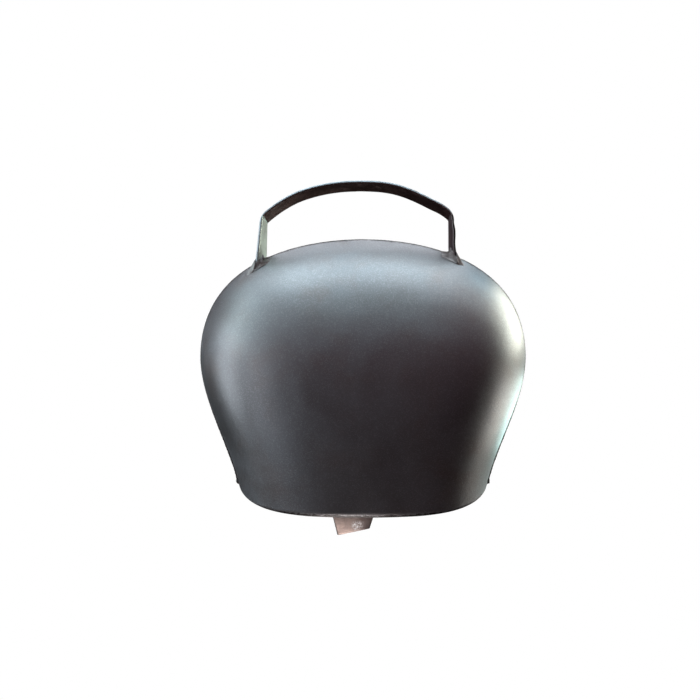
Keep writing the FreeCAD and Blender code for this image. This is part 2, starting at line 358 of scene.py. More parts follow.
paint = {
    "dark": (0.115, 0.108, 0.112, 1), "cool": (0.150, 0.153, 0.165, 1), "warm": (0.128, 0.098, 0.090, 1),
    # edge is a near-black colour, painted shade along the seam, on the lip and inside the mouth
    "edge": (0.020, 0.018, 0.018, 1), "fleck": (0.34, 0.34, 0.36, 1),
    "metallic": 0.75, "roughLow": 0.37, "roughHigh": 0.50, "fleckShine": 0.04,
    "grainPerMetre": 2300, "pitsPerMetre": 500.0, "pitShare": 0.35,
    "cloudsPerMetre": 14.0, "stainsPerMetre": 26.0, "stainCover": 0.40, "stainShare": 0.55,
    "fleckShare": 0.22, "darkEdgeAmount": 0.75, "darkEdgePerMetre": 420.0, "darkEdgeDip": 0.6,
    "bump": 0.26, "bumpDepth": 0.25 * mm,
}


def makeShellPaint():
    material, tree, shader = newMaterial("shellPaint")
    grain, sparkle = grainOf(tree, paint)
    clouds = patchesOf(tree, paint["cloudsPerMetre"], 0.5, 0.3)
    stains = patchesOf(tree, paint["stainsPerMetre"], paint["stainCover"], 0.16)
    # painted shade: the paint goes near black along the seam, on the rolled lip and just inside the mouth,
    # with a slight dip in height
    scale = wearOf(tree, paint["darkEdgeAmount"], paint["darkEdgePerMetre"])
    colour = mixColour(tree, clouds, paint["dark"], paint["cool"])
    colour = mixColour(tree, times(tree, stains, paint["stainShare"]), colour, paint["warm"])
    colour = mixColour(tree, times(tree, sparkle, paint["fleckShare"]), colour, paint["fleck"])
    tree.links.new(mixColour(tree, scale, colour, paint["edge"]), shader.inputs["Base Color"])
    rough = rangeNode(tree, clouds, 0.0, 1.0, paint["roughLow"], paint["roughHigh"])
    shine = times(tree, sparkle, paint["fleckShine"])
    tree.links.new(mathNode(tree, "SUBTRACT", rough, shine), shader.inputs["Roughness"])
    shader.inputs["Metallic"].default_value = paint["metallic"]
    height = mathNode(tree, "SUBTRACT", grain, times(tree, scale, paint["darkEdgeDip"]))
    joinBump(tree, shader, height, paint["bump"], paint["bumpDepth"])
    return material


steel = {
    "grainPerMetre": 1100.0, "pitsPerMetre": 330.0, "pitShare": 0.5, "cloudsPerMetre": 60.0,
    "rustPerMetre": 95.0, "chipsPerMetre": 380.0, "rustRough": 0.25, "rustDull": 0.55, "rustHeight": 0.8,
    "wearShine": 0.08, "bump": 0.4, "bumpDepth": 0.3 * mm,
}


def makeSteel(name, dark, light, rust, bare, roughLow, roughHigh, rustCover, wearAmount,
              metallic=0.85, extras=()):
    # scaled or rusty steel; every piece has its own colours and wear
    material, tree, shader = newMaterial(name)
    grain = grainOf(tree, steel)[0]
    clouds = patchesOf(tree, steel["cloudsPerMetre"], 0.5, 0.22)
    rusty = patchesOf(tree, steel["rustPerMetre"], rustCover, 0.10)
    wear = wearOf(tree, wearAmount, steel["chipsPerMetre"])
    colour = mixColour(tree, clouds, dark, light)
    colour = mixColour(tree, rusty, colour, rust)
    for extra in extras:  # a stretch marked by an attribute gets its own painted colour: shade, reflection, light or glints
        broken = patchesOf(tree, extra["perMetre"], extra["cover"], 0.2)
        broken = rangeNode(tree, broken, 0.0, 1.0, extra["least"], 1.0)
        share = times(tree, marked(tree, extra["attribute"]), broken)
        colour = mixColour(tree, share, colour, extra["colour"])
    tree.links.new(mixColour(tree, wear, colour, bare), shader.inputs["Base Color"])
    rough = rangeNode(tree, clouds, 0.0, 1.0, roughLow, roughHigh)
    rough = mathNode(tree, "ADD", rough, times(tree, rusty, steel["rustRough"]), True)
    rough = mathNode(tree, "SUBTRACT", rough, times(tree, wear, steel["wearShine"]), True)
    tree.links.new(rough, shader.inputs["Roughness"])
    dull = times(tree, rusty, steel["rustDull"])
    tree.links.new(mathNode(tree, "SUBTRACT", metallic, dull, True), shader.inputs["Metallic"])
    height = mathNode(tree, "ADD", grain, times(tree, rusty, steel["rustHeight"]))
    joinBump(tree, shader, height, steel["bump"], steel["bumpDepth"])
    return material


shellPaint = makeShellPaint()
handleSteel = makeSteel(
    "handleSteel", dark=(0.10, 0.095, 0.10, 1), light=(0.22, 0.21, 0.22, 1), rust=(0.09, 0.05, 0.045, 1),
    bare=(0.20, 0.215, 0.235, 1), roughLow=0.36, roughHigh=0.50, rustCover=0.36, wearAmount=0.72,
    # under: a brown tone painted as shade on the arch's underside and, weaker, on the right leg's inner face
    extras=[{"attribute": "under", "perMetre": 120.0, "cover": 0.6, "least": 0.75,
             "colour": (0.15, 0.078, 0.072, 1)},
            # painted reflection: the left leg's inner face is painted light grey-green
            {"attribute": "paintedReflection", "perMetre": 200.0, "cover": 0.6, "least": 0.8,
             "colour": (0.42, 0.45, 0.42, 1)},
            # painted shade: near black along the legs' edges, strongest on the right leg
            {"attribute": "shadedEdge", "perMetre": 200.0, "cover": 0.7, "least": 0.9,
             "colour": (0.010, 0.009, 0.010, 1)}])
weldMetal = makeSteel(
    "weldMetal", dark=(0.05, 0.042, 0.042, 1), light=(0.20, 0.18, 0.18, 1), rust=(0.06, 0.035, 0.032, 1),
    bare=(0.60, 0.57, 0.57, 1), roughLow=0.30, roughHigh=0.50, rustCover=0.46, wearAmount=0.50)
seamScale = makeSteel(
    "seamScale", dark=(0.022, 0.020, 0.020, 1), light=(0.055, 0.050, 0.046, 1), rust=(0.030, 0.022, 0.018, 1),
    bare=(0.30, 0.28, 0.25, 1), roughLow=0.34, roughHigh=0.52, rustCover=0.40, wearAmount=0.30)
hangingSteel = makeSteel(
    "hangingSteel", dark=(0.12, 0.10, 0.09, 1), light=(0.24, 0.21, 0.19, 1), rust=(0.17, 0.085, 0.045, 1),
    bare=(0.60, 0.57, 0.53, 1), roughLow=0.36, roughHigh=0.55, rustCover=0.46, wearAmount=0.6)
forgedIron = makeSteel(
    "forgedIron", dark=(0.05, 0.042, 0.042, 1), light=(0.13, 0.10, 0.095, 1), rust=(0.10, 0.062, 0.055, 1),
    bare=(0.85, 0.87, 0.90, 1), roughLow=0.36, roughHigh=0.60, rustCover=0.44, wearAmount=0.66, metallic=0.45,
    # painted light: a pale pinkish patch on the tail's lower left
    extras=[{"attribute": "litPatch", "perMetre": 150.0, "cover": 0.62, "least": 0.45,
             "colour": (0.66, 0.52, 0.47, 1)},
            # painted highlight: white glints on the tail's front
            {"attribute": "paintedGlint", "perMetre": 700.0, "cover": 0.48, "least": 0.0,
             "colour": (0.95, 0.97, 1.0, 1)},
            # painted shade: near black on the tail's two sides
            {"attribute": "shadedEdge", "perMetre": 300.0, "cover": 0.7, "least": 0.9,
             "colour": (0.010, 0.009, 0.009, 1)}])
print("materials made")


shellMesh = {"columns": 221, "rows": 76, "crowd": 1.35, "lipSteps": 4, "lipRound": 0.14}
beaten = {"broad": 0.12 * mm, "broadSize": 50 * mm, "fine": 0.03 * mm, "fineSize": 14 * mm,
          "seamFade": 6, "lipFade": 5, "lipLeast": 0.2, "dentEdge": 2.5}
# where the shell gets its painted shade: a dark band at the seam, on the lip and inside the mouth
shellDarkEdge = {"seam": 0.8, "seamFade": 26, "lip": 0.9, "lipFade": 34, "inside": 0.7, "insideFade": 40}
dents = [  # x and height above the mouth in metres, radius, depth
    (-0.048, 0.060, 0.024, 0.35 * mm), (0.052, 0.112, 0.020, 0.30 * mm), (0.020, 0.030, 0.018, 0.28 * mm),
    (-0.022, 0.130, 0.026, 0.30 * mm), (0.075, 0.052, 0.016, 0.25 * mm),
]


def shellRow(share, outline, facing):
    # one row of points between the mouth's edge and the seam, with normals
    row = []
    half = bell["mouthWidth"] / 2
    for i, seam in enumerate(outline):
        mouthX = half * (2 * i / (len(outline) - 1) - 1)
        lip = -bell["lipDrop"] * (faceDepth(mouthX, 0) / bell["halfDepth"]) ** 2
        at = Vector((mouthX, lip)).lerp(seam, share)
        normal = faceNormal(at.x, at.y)
        depth = max(faceDepth(at.x, at.y), 0)
        spot = Vector((at.x, depth, at.y))
        fade = min(1, (1 - share) * beaten["seamFade"])
        fade *= min(1, share * beaten["lipFade"] + beaten["lipLeast"])
        sink = beaten["broad"] * (1 + bumpy(spot, beaten["broadSize"], facing * 3 + 5))
        sink += beaten["fine"] * (1 + bumpy(spot, beaten["fineSize"], facing + 9))
        for x, h, radius, deep in dents:
            away = (Vector((at.x * facing, at.y)) - Vector((x, h))).length / radius
            sink += deep * math.exp(-away ** 2 * beaten["dentEdge"])
        row.append((spot - normal * sink * fade, normal))
    return row


def buildShell(name, facing, node):
    # facing is 1 for the front half and -1 for the rear
    outline = seamOutline(shellMesh["columns"])
    count, last = len(outline), shellMesh["rows"] - 1
    shares = [1 - (1 - k / last) ** shellMesh["crowd"] for k in range(last + 1)]
    rows = [shellRow(share, outline, facing) for share in shares]
    sheet, steps, scale = bell["sheet"], shellMesh["lipSteps"], shellDarkEdge
    loops, edges = [], []
    for row, share in zip(rows[::-1], shares[::-1]):
        loops.append([p for p, n in row])
        # the edge values mark the painted shade at the seam, on the lip and inside the mouth
        atSeam = max(0, 1 - (1 - share) * scale["seamFade"]) * scale["seam"]
        edges.append(atSeam + max(0, 1 - share * scale["lipFade"]) * scale["lip"])
    for k in range(1, steps):  # the mouth's edge is rolled over from outside to inside
        turn = math.pi * k / steps
        drop = Vector((0, 0, shellMesh["lipRound"] * sheet * math.sin(turn)))
        loops.append([p - n * sheet * (1 - math.cos(turn)) / 2 - drop for p, n in rows[0]])
        edges.append(1.0)
    for row, share in zip(rows, shares):
        loops.append([p - n * sheet for p, n in row])
        edges.append(max(0, 1 - share * scale["insideFade"]) * scale["inside"])
    verts, faces, edgeValues = [], [], []
    for loop, edge in zip(loops, edges):
        for p in loop:
            z = max(bell["mouthZ"] + p.z, shellLow.z)
            verts.append(Vector((bell["midX"] + p.x, -facing * max(p.y, 0.0), z)))
            edgeValues.append(edge)
    for i in range(len(loops)):
        a, b = i * count, (i + 1) % len(loops) * count
        for k in range(count - 1):
            faces.append((a + k, a + k + 1, b + k + 1, b + k))
    piece = makeMesh(name, verts, faces)
    setAttribute(piece, "edge", edgeValues)
    outward(piece)
    place(piece, "bell", "shell_paint", shellPaint, node)


buildShell("frontShell", 1, "front_shell")
buildShell("rearShell", -1, "rear_shell")
print("shells made")


bead = {"around": 14, "endSize": 0.35, "endLength": 0.6, "lumpSize": 5 * mm, "chevron": 0.45, "trough": 0.55}


def weldBead(name, path, across, width, height, options, body, slot, material, node):
    # a rippled bead along path; across gives the (out, side) directions at each point
    pitch, ripple, lump, seed = options["pitch"], options["ripple"], options["lump"], options["seed"]
    rings, edgeValues = [], []
    total = sum((b - a).length for a, b in zip(path, path[1:]))
    run = 0
    for i, spot in enumerate(path):
        if i:
            run += (spot - path[i - 1]).length
        out, side = across(i)
        grow = 1 + lump * bumpy(spot, bead["lumpSize"], seed * 1.7, 3)
        grow *= min(1, bead["endSize"] + min(run, total - run) / (width * bead["endLength"]))
        if "profile" in options:
            grow *= options["profile"](run / total)
        ring = []
        for k in range(bead["around"]):
            turn = 2 * math.pi * k / bead["around"]
            bow = math.cos(turn)
            phase = (run / pitch + bead["chevron"] * math.sin(turn) ** 2) % 1
            tooth = 1 - ripple * (phase ** 2)
            reach = height * bow * (tooth if bow > 0 else options["sink"])
            ring.append(spot + out * reach * grow + side * width / 2 * math.sin(turn) * grow * tooth)
            edgeValues.append(max(0, bow) * (bead["trough"] + (1 - bead["trough"]) * (1 - phase)))
        rings.append(ring)
    piece = loftRings(name, rings)
    setAttribute(piece, "edge", edgeValues + [0.3, 0.3])
    outward(piece)
    place(piece, body, slot, material, node)


def seamFrame(points):
    # directions out of the seam in its plane, and across it
    def across(i):
        a, b = points[max(i - 1, 0)], points[min(i + 1, len(points) - 1)]
        along = (b - a).normalized()
        return Vector((-along.z, 0, along.x)), Vector((0, 1, 0))
    return across


seamBead = {
    "width": 3.2 * mm, "height": 1.15 * mm, "step": 0.3 * mm, "sunk": 0.35 * mm, "underLeg": 4 * mm,
    "pitch": 2.6 * mm, "ripple": 0.16, "lump": 0.14, "sink": 0.5, "flush": 0.42,
    "proud": 0.54, "proudUpTo": 58 * mm, "proudFade": 9 * mm,
    "knob": 0.70, "knobAt": 1.8 * mm, "knobSize": 2.2 * mm,  # the lump that ends it at the mouth corner
}


def buildSeamWelds():
    s = seamBead
    outline = [Vector((bell["midX"] + p.x, 0, bell["mouthZ"] + p.y)) for p in seamOutline(3000)]
    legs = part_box("handle_strap")
    for part in ("left", "crown", "right"):
        node, name = "seam_weld_" + part, "seamWeld" + part.title()
        low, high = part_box(node)
        inside = [p for p in outline if low.x <= p.x <= high.x and low.z - 1 * mm <= p.z <= high.z]
        if part == "left":
            inside = [p for p in inside if p.x < legs[0].x + s["underLeg"]]
        if part == "right":
            inside = [p for p in inside if p.x > legs[1].x - s["underLeg"]]
        length = sum((b - a).length for a, b in zip(inside, inside[1:]))
        points = resample(inside, int(length / s["step"]))
        across = seamFrame(points)
        points = [p - across(i)[0] * s["sunk"] for i, p in enumerate(points)]

        def profile(share, part=part, length=length):
            if part == "crown":
                return s["flush"]
            low = (share if part == "left" else 1 - share) * length  # distance from the mouth corner
            proud = 1 / (1 + math.exp((low - s["proudUpTo"]) / s["proudFade"]))
            knob = math.exp(-((low - s["knobAt"]) / s["knobSize"]) ** 2)
            return s["flush"] + s["proud"] * proud + s["knob"] * knob

        options = dict(s, seed=len(name), profile=profile)
        weldBead(name, points, across, s["width"], s["height"], options,
                 "bell", "weld_metal", seamScale, node)


buildSeamWelds()
print("seam welded")


handle = {
    "rise": 2 * mm, "archRadius": 118 * mm, "outerBend": 9.5 * mm, "innerBend": 1.8 * mm,
    "topSpan": 134.6 * mm, "footSpan": 138.8 * mm, "legPast": 26 * mm, "rooted": 1.2 * mm, "thick": 2 * mm,
    "corner": 0.75 * mm, "edgeBand": 0.9 * mm, "edgeRoll": 0.6 * mm,
    "edgeDents": 0.12 * mm, "edgeDentSize": 5 * mm, "faceDents": 0.05 * mm, "faceDentSize": 14 * mm,
}
handleLow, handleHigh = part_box("handle_strap")
handle["width"] = handleHigh.y - handleLow.y
handle["crownZ"] = shellHigh.z
knock = {"z": -26.4 * mm, "radius": 2.4 * mm, "deep": 0.6 * mm}  # an old knock on the right leg
uneven = {  # the strap was bent by hand, so its two ends differ
    "leftSag": 3.4 * mm, "sagStart": 40 * mm, "sagLength": 27 * mm, "sagPower": 1.6,
    "rightLift": 1.1 * mm, "liftPlace": 28 * mm, "liftLength": 18 * mm,
    "leftNear": 0.2 * mm, "leftFar": 2.1 * mm, "leftTop": -24 * mm, "leftLength": 22 * mm,
    "rightNear": 1.2 * mm, "rightFar": 2.2 * mm, "rightFoot": -42 * mm, "rightLength": 20 * mm,
    "rightStart": 52 * mm, "rightEase": 12 * mm,
    "rightSag": 1.8 * mm, "rightSagStart": 58 * mm, "rightSagLength": 10 * mm,
    "bulge": 0.7 * mm, "bulgePlace": -34 * mm, "bulgeLength": 6 * mm,
}


def legLine():
    # where the outline's leg starts at the bend, and how it splays
    centreZ = handle["rise"] - handle["archRadius"]
    topHalf = handle["topSpan"] / 2
    bendZ = centreZ + math.sqrt(handle["archRadius"] ** 2 - topHalf ** 2)
    splay = (handle["footSpan"] / 2 - topHalf) / (bendZ - handle["crownZ"])
    return topHalf, bendZ, splay


def legX(z, inset):
    topHalf, bendZ, splay = legLine()
    return topHalf + (bendZ - z) * splay - inset


def strapSide(inset, bend, footZ, counts):
    # right half of one face of the strap: leg, bend and arch, as points in the seam plane
    radius = handle["archRadius"] - inset
    centreZ = handle["rise"] - handle["archRadius"]
    splay = legLine()[2]
    down = Vector((splay, -1)).normalized()
    inward = Vector((down.y, -down.x))
    start = Vector((legX(0, inset), 0)) + inward * bend
    low, high = 0, 0.1
    for _ in range(50):  # slide the bend's centre along the leg until it meets the arch
        middle = (low + high) / 2
        at = start + down * middle
        away = math.hypot(at.x, at.y - centreZ)
        low, high = (low, middle) if away < radius - bend else (middle, high)
    centre = start + down * low
    legTop = centre - inward * bend
    archEnd = math.atan2(centre.x, centre.y - centreZ)
    foot = Vector((legX(footZ, inset), footZ))
    first = math.atan2(-inward.x, -inward.y)
    points = [foot.lerp(legTop, k / counts[0]) for k in range(counts[0])]
    for k in range(counts[1]):
        turn = first + (archEnd - first) * k / counts[1]
        points.append(centre + Vector((math.sin(turn), math.cos(turn))) * bend)
    for k in range(counts[2] + 1):
        turn = archEnd * (1 - k / counts[2])
        points.append(Vector((math.sin(turn) * radius, centreZ + math.cos(turn) * radius)))
    return points


def strapSection(width, thick, corner):
    # places across the width and through the thickness, with rounded corners
    half, deep = width / 2, thick / 2
    corners = []
    for signY, signT in ((1, 1), (-1, 1), (-1, -1), (1, -1)):
        for k in range(4):
            turn = math.pi / 2 * k / 3
            c, s = math.cos(turn), math.sin(turn)
            if signY * signT < 0:
                c, s = s, c
            corners.append((signY * (half - corner + corner * c), signT * (deep - corner + corner * s)))
    spots = []
    for (y0, t0), (y1, t1) in zip(corners, corners[1:] + corners[:1]):
        pieces = 16 if abs(y1 - y0) > corner * 2 else (2 if abs(t1 - t0) > corner else 1)
        spots += [(y0 + (y1 - y0) * k / pieces, t0 + (t1 - t0) * k / pieces) for k in range(pieces)]
    return spots


def footPlace(x, depth):
    # height of the shoulder under a point
    return bell["mouthZ"] + crownTop(min(abs(x - bell["midX"]), bell["width"] * 0.49), depth)


def between(value):
    return min(1, max(0, value))


def hump(away):
    return math.exp(-away ** 2)


def byHand(p, half):
    # moves a point of the true strap to where the hand-bent one has it
    u = uneven
    far = (p.y + half) / (2 * half)
    if p.x < 0:
        past = max(0, -p.x - u["sagStart"]) / u["sagLength"]
        p.z -= u["leftSag"] * min(past, 1.05) ** u["sagPower"]
        drop = between((u["leftTop"] - p.z) / u["leftLength"])
        p.x += (u["leftNear"] * (1 - far) + u["leftFar"] * far) * drop
    else:
        p.z += u["rightLift"] * hump((p.x - u["liftPlace"]) / u["liftLength"])
        past = max(0, p.x - u["rightSagStart"]) / u["rightSagLength"]
        p.z -= u["rightSag"] * min(past, 1.1) ** 1.5
        start = between((p.x - u["rightStart"]) / u["rightEase"])
        rise = between((p.z - u["rightFoot"]) / u["rightLength"])
        ease = start ** 2 * (3 - 2 * start)
        p.x += (u["rightNear"] * (1 - far) + u["rightFar"] * far) * rise * ease
        p.x += u["bulge"] * hump((p.z - u["bulgePlace"]) / u["bulgeLength"]) * start * (1 - far)
    return p


def buildHandle():
    h = handle
    footZ, half, thick = h["crownZ"] - h["legPast"], h["width"] / 2, h["thick"]
    counts = (34, 14, 62)  # steps along the leg, the bend and the arch
    outer = strapSide(0, h["outerBend"], footZ, counts)
    inner = strapSide(thick, h["innerBend"], footZ, counts)
    outer += [Vector((-p.x, p.y)) for p in outer[::-1][1:]]
    inner += [Vector((-p.x, p.y)) for p in inner[::-1][1:]]
    bendZ = legLine()[1]
    rings = []
    marks = {"edge": [], "under": [], "paintedReflection": [], "shadedEdge": []}
    for o, i in zip(outer, inner):
        ring = []
        out = Vector((o.x - i.x, 0, o.y - i.y)).normalized()
        for y, t in strapSection(h["width"], thick, h["corner"]):
            at = i.lerp(o, t / thick + 0.5)
            p = Vector((at.x, y, at.y))
            nearEdge = max(0, 1 - (half - abs(y)) / h["edgeBand"])
            rough = h["edgeDents"] * (1 + bumpy(p, h["edgeDentSize"], 4, 3))
            p.y -= math.copysign(1, y) * nearEdge * rough
            p.y -= math.copysign(1, y) * nearEdge * h["edgeRoll"] * (t / thick + 0.5) ** 1.5
            rough = h["faceDents"] * (1 + bumpy(p, h["faceDentSize"], 8, 3))
            p -= out * (1 if t > 0 else -1) * rough
            if p.x > 0 and t > 0:
                near = Vector((p.y + half, p.z - knock["z"])).length / knock["radius"]
                p -= out * knock["deep"] * math.exp(-near ** 2 * 2)
            p = byHand(p, half)
            p.z = min(p.z, handleHigh.z)
            if p.z < h["crownZ"] - 2 * mm:  # the foot is cut to the shoulder's curve
                p.z = max(p.z, footPlace(p.x, abs(p.y)) - h["rooted"])
            ring.append(p)
            right, onLeg = at.x > 0, at.y < bendZ - 1 * mm
            rightLegEdges = p.x > 0 and at.y < bendZ  # the right leg's edges get little wear, so their painted shade stays dark
            marks["edge"].append(nearEdge * (0.3 if rightLegEdges or t <= -0.2 * thick else 1.0))
            below = t < -0.3 * thick
            # painted shade: the strap's underside gets the brown tone, the right leg's inner face a little of
            # it
            marks["under"].append((0.35 if right else 0.0) if below and onLeg else 1.0 * below)
            # painted reflection on the left leg's inner face
            marks["paintedReflection"].append(1.0 * (below and onLeg and at.x < 0))
            # painted shade along the legs' edges
            marks["shadedEdge"].append(nearEdge * (1.0 if right else 0.6) * (onLeg and not below))
        rings.append(ring)
    piece = loftRings("handleStrap", rings)
    for name, values in marks.items():
        setAttribute(piece, name, values + [0, 0])
    outward(piece)
    place(piece, "bell", "handle_steel", handleSteel, "handle_strap")


buildHandle()


footWeld = {  # reach along the shoulder, reach up the leg, how hollow the face is; shine is the bare metal shown, higher on the outer fillet as painted light and lower on the inner one as painted shade
    "outer": {"along": 4.2 * mm, "up": 6.6 * mm, "hollow": 0.02, "seed": 5, "shine": 0.34},
    "inner": {"along": 9.0 * mm, "up": 5.6 * mm, "hollow": 0.30, "seed": 9, "shine": 0.10},
    "overhang": 2.2 * mm, "rings": 96, "around": 16, "pitch": 2.9 * mm, "ripple": 0.30 * mm,
    "lump": 0.30, "lumpSize": 6 * mm, "crust": 0.28 * mm, "crustSize": 2.6 * mm,
    "rootIn": 1.2 * mm, "rootDown": 1.4 * mm,
}


def filletWeld(name, side, faceName, node):
    # a lumpy fillet between the leg's face and the shoulder, wrapped round the bar's two edges
    w, values = footWeld, footWeld[faceName]
    inset = 0 if faceName == "outer" else handle["thick"]
    lean = side if faceName == "outer" else -side
    barHalf = handle["width"] / 2
    count = w["around"]
    rings, edgeValues = [], []
    for i in range(w["rings"]):
        y = (barHalf + w["overhang"]) * (2 * (i / (w["rings"] - 1)) - 1)
        z = handle["crownZ"]
        for _ in range(6):  # the leg leans, so its place and the shoulder's height are found in turns
            x = side * legX(z, inset)
            z = footPlace(x, abs(y))
        past = max(0, (abs(y) - barHalf) / w["overhang"])
        size = math.sqrt(max(0, 1 - past ** 2)) * 0.85 + 0.15
        size *= 1 + w["lump"] * bumpy(Vector((x, y, z)), w["lumpSize"], values["seed"] + side * 2, 3)
        wrap = Vector((-lean * handle["thick"] / 2 * min(1, past * 1.6), 0, 0))  # closes over the bar's edge
        phase = (y / w["pitch"]) % 1
        arch = 4 * phase * (1 - phase)
        along, up = values["along"] * size, values["up"] * size
        toe = Vector((x + lean * along, y, footPlace(x + lean * along, abs(y)) - 0.15 * mm))
        crest = byHand(Vector((side * legX(z + up, inset) + lean * 0.05 * mm, y, z + up)), barHalf)
        crest.z = z + up
        root = Vector((x - lean * w["rootIn"], y, z - w["rootDown"]))
        ring = []
        for k in range(count):
            t = k / (count - 1)
            flat = toe.lerp(crest, t)
            pull = (root - flat) * values["hollow"] * math.sin(math.pi * t)
            crust = 1 + 0.5 * bumpy(flat, w["crustSize"], values["seed"] * 3, 3)
            swell = w["ripple"] * (arch - 0.6) * crust + w["crust"] * (crust - 1)
            ring.append(flat + pull + (flat - root).normalized() * math.sin(math.pi * t) * swell)
            # painted light and shade: the outer fillet shows more bare metal than the inner one
            edgeValues.append(values["shine"] + 0.5 * max(0, arch - 0.4))
        ring.append(crest.lerp(root, 0.5) - Vector((lean * 0.6 * mm, 0, 0)))
        ring += [root, toe.lerp(root, 0.5) - Vector((0, 0, 0.7 * mm))]
        edgeValues += [0, 0, 0]
        rings.append([p + wrap for p in ring])
    piece = loftRings(name, rings)
    setAttribute(piece, "edge", edgeValues + [0.2, 0.2])
    outward(piece)
    place(piece, "bell", "weld_metal", weldMetal, node)


def buildFootWelds():
    for side, sideName in ((-1, "left"), (1, "right")):
        for faceName in ("outer", "inner"):
            filletWeld("handleWeld" + sideName.title() + faceName.title(), side, faceName,
                       "handle_weld_" + sideName + "_" + faceName)


buildFootWelds()
print("handle made and welded on")


bar = {"sides": 22, "dentSize": 5 * mm, "shine": 0.35, "shineVary": 0.3, "shineSize": 12 * mm}


def roundBar(name, path, radius, closed, seed, body, slot, material, node, wobble=0.05):
    # a slightly dented round bar along path
    rings, edgeValues = [], []
    last = len(path) - 1
    for i, spot in enumerate(path):
        if closed:
            a, b = path[i - 1], path[(i + 1) % (last + 1)]
        else:
            a, b = path[max(i - 1, 0)], path[min(i + 1, last)]
        along = (b - a).normalized()
        first = along.cross(Vector((0, 1, 0)) if abs(along.y) < 0.8 else Vector((1, 0, 0))).normalized()
        second = along.cross(first)
        ring = []
        for k in range(bar["sides"]):
            turn = 2 * math.pi * k / bar["sides"]
            way = first * math.cos(turn) + second * math.sin(turn)
            at = spot + way * radius
            dent = wobble * (0.5 + 0.5 * bumpy(at, bar["dentSize"], seed, 3))
            ring.append(spot + way * (radius * (1 - dent)))
            edgeValues.append(bar["shine"] + bar["shineVary"] * bumpy(at, bar["shineSize"], seed + 3))
        rings.append(ring)
    piece = loftRings(name, rings, closed=closed)
    setAttribute(piece, "edge", edgeValues + ([] if closed else [0.2, 0.2]))
    outward(piece)
    place(piece, body, slot, material, node)


def circle(count, share=1):
    # cosines and sines round a circle, or over a share of it with both ends
    turns = [2 * math.pi * share * k / count for k in range(count + (share < 1))]
    return [(math.cos(turn), math.sin(turn)) for turn in turns]


def straight(start, end, steps):
    # points between two ends, without the ends
    return [start.lerp(end, k / steps) for k in range(1, steps)]


def middle(node):
    low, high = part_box(node)
    return (low + high) / 2, low, high


stapleWeld = {"out": 0.7 * mm, "under": 1.35, "width": 4.4 * mm, "height": 2.6 * mm, "around": 90,
              "pitch": 2.6 * mm, "ripple": 0.2, "lump": 0.35, "sink": 0.8}


def buildStaple():
    centre, low, high = middle("clapper_staple")
    thick = high.y - low.y
    bend = (high.x - low.x - thick) / 2
    base = Vector((centre.x, 0, low.z + thick / 2 + bend))
    legs = []
    for side in (-1, 1):
        under = footPlace(base.x + side * bend, 0) - 1.1 * bell["sheet"]
        foot = base + Vector((side * bend, 0, 0))
        legs.append([foot.lerp(Vector((foot.x, 0, under)), k / 8) for k in range(9)])
    arc = [base - Vector((bend * c, 0, bend * s)) for c, s in circle(32, 0.5)]
    roundBar("clapperStaple", legs[0][::-1] + arc[1:-1] + legs[1], thick / 2, False, 2,
             "bell", "hanging_steel", hangingSteel, "clapper_staple")
    w, reach = stapleWeld, thick / 2 + stapleWeld["out"]
    for side, name in ((-1, "left"), (1, "right")):
        points = []
        for c, s in circle(w["around"]) + [(1, 0)]:
            x, y = base.x + side * bend + c * reach, s * reach
            points.append(Vector((x, y, footPlace(x, abs(y)) - bell["sheet"] * w["under"])))

        def across(i, points=points):
            along = (points[min(i + 1, len(points) - 1)] - points[max(i - 1, 0)]).normalized()
            out = Vector((0, 0, -1))
            return out, along.cross(out).normalized()

        options = dict(w, seed=11 + side)
        weldBead("stapleWeld" + name.title(), points, across, w["width"], w["height"], options,
                 "bell", "weld_metal", weldMetal, "staple_weld_" + name)


def buildLink():
    centre, low, high = middle("hanging_link")
    thick = high.x - low.x
    bend = (high.y - low.y - thick) / 2
    top = Vector((centre.x, 0, high.z - thick / 2 - bend))
    bottom = Vector((centre.x, 0, low.z + thick / 2 + bend))
    upper = [top + Vector((0, bend * c, bend * s)) for c, s in circle(30, 0.5)]
    lower = [bottom - Vector((0, bend * c, bend * s)) for c, s in circle(30, 0.5)]
    path = upper + straight(upper[-1], lower[0], 10) + lower + straight(lower[-1], upper[0], 10)
    roundBar("hangingLink", path, thick / 2, True, 6, "link", "hanging_steel", hangingSteel, "hanging_link",
             wobble=0.04)
    centre, low, high = middle("link_weld")
    start, end = Vector((centre.x, centre.y, low.z)), Vector((centre.x, centre.y, high.z))
    roundBar("linkWeld", [start.lerp(end, k / 13) for k in range(14)], (high.x - low.x) / 2, False, 9, "link",
             "weld_metal", weldMetal, "link_weld", wobble=0.12)


collarWeld = {"around": 120, "pitch": 3 * mm, "ripple": 0.2, "lump": 0.3, "sink": 0.7, "out": 0.3 * mm}


def collar(name, centre, radius, width, height, seed, node):
    # a bead all round the clapper's rod
    points = [centre + Vector((radius * c, radius * s, 0)) for c, s in circle(collarWeld["around"])]
    points.append(points[0])

    def across(i):
        return (points[i] - centre).normalized(), Vector((0, 0, 1))

    weldBead(name, points, across, width, height, dict(collarWeld, seed=seed), "clapper", "weld_metal",
             weldMetal, node)


